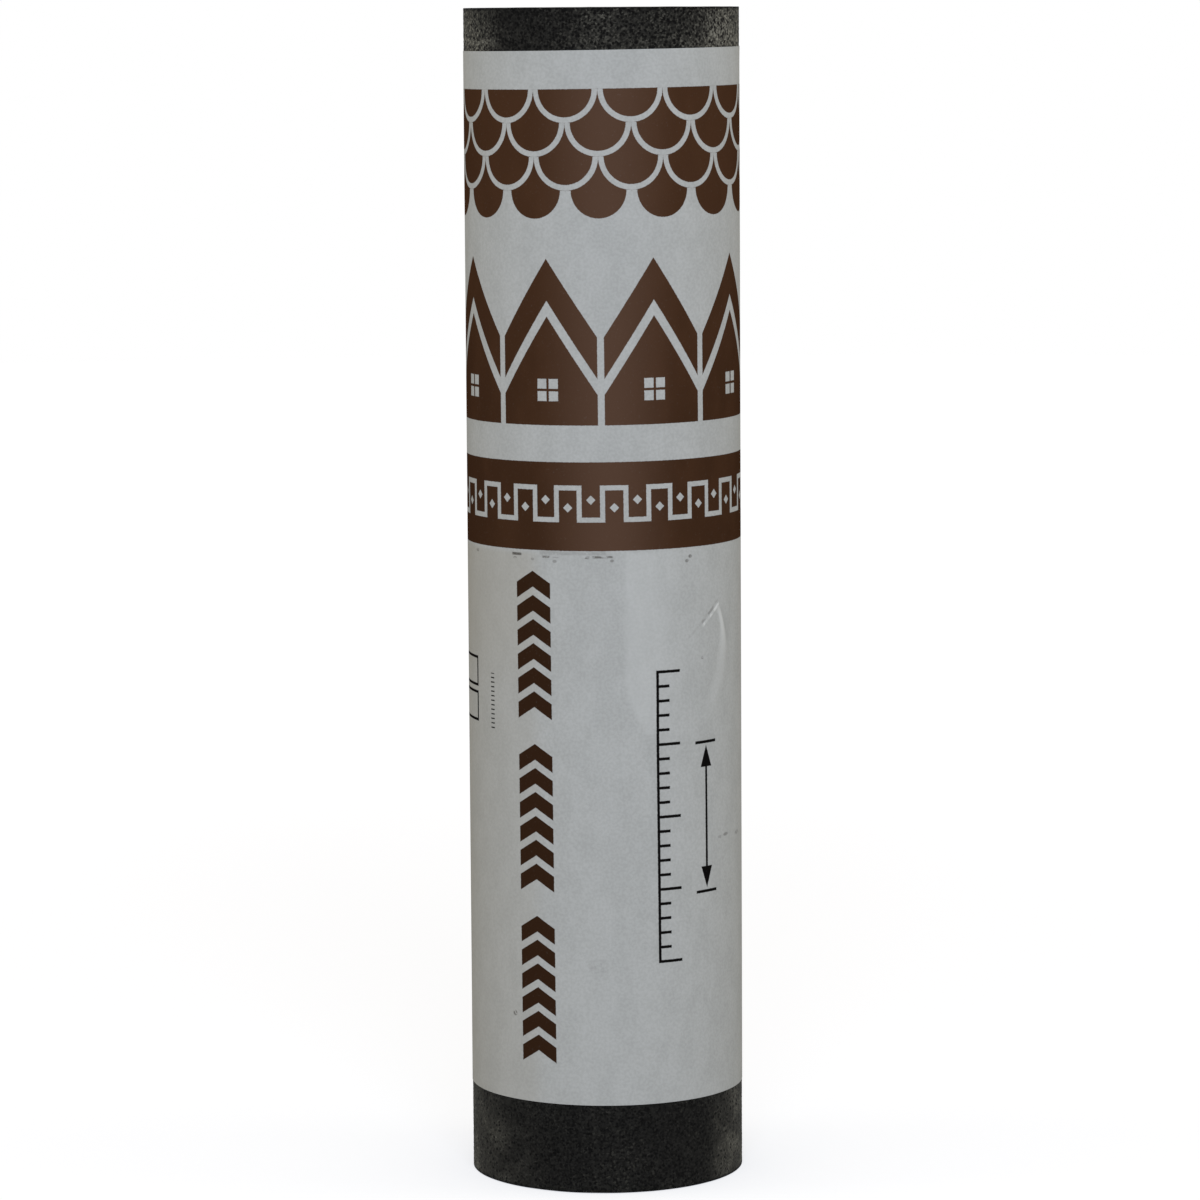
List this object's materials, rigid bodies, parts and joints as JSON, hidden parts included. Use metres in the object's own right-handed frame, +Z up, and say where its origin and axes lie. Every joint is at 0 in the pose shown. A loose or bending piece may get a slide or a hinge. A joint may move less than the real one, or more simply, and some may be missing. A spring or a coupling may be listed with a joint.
{
  "type": "roll of roofing felt",
  "caption": "Roll of mineral-surfaced roofing felt standing on its end, wound to an open bore, in a printed paper wrapper that leaves the black felt bare at both ends.",
  "frame": {"origin": "on the bore's axis at the lower end of the roll, which is the floor it stands on", "axes": "+Z up the roll along the bore's axis, -Y towards the printed front of the wrapper, +X to the right seen from the front"},
  "size_m": [0.2146, 0.2162, 0.9144],
  "materials": {
    "felt": "matte",
    "wrapper_paper": "matte"
  },
  "bodies": {
    "root": {"felt_roll": "felt", "paper_wrapper": "wrapper_paper"}
  },
  "joints": []
}
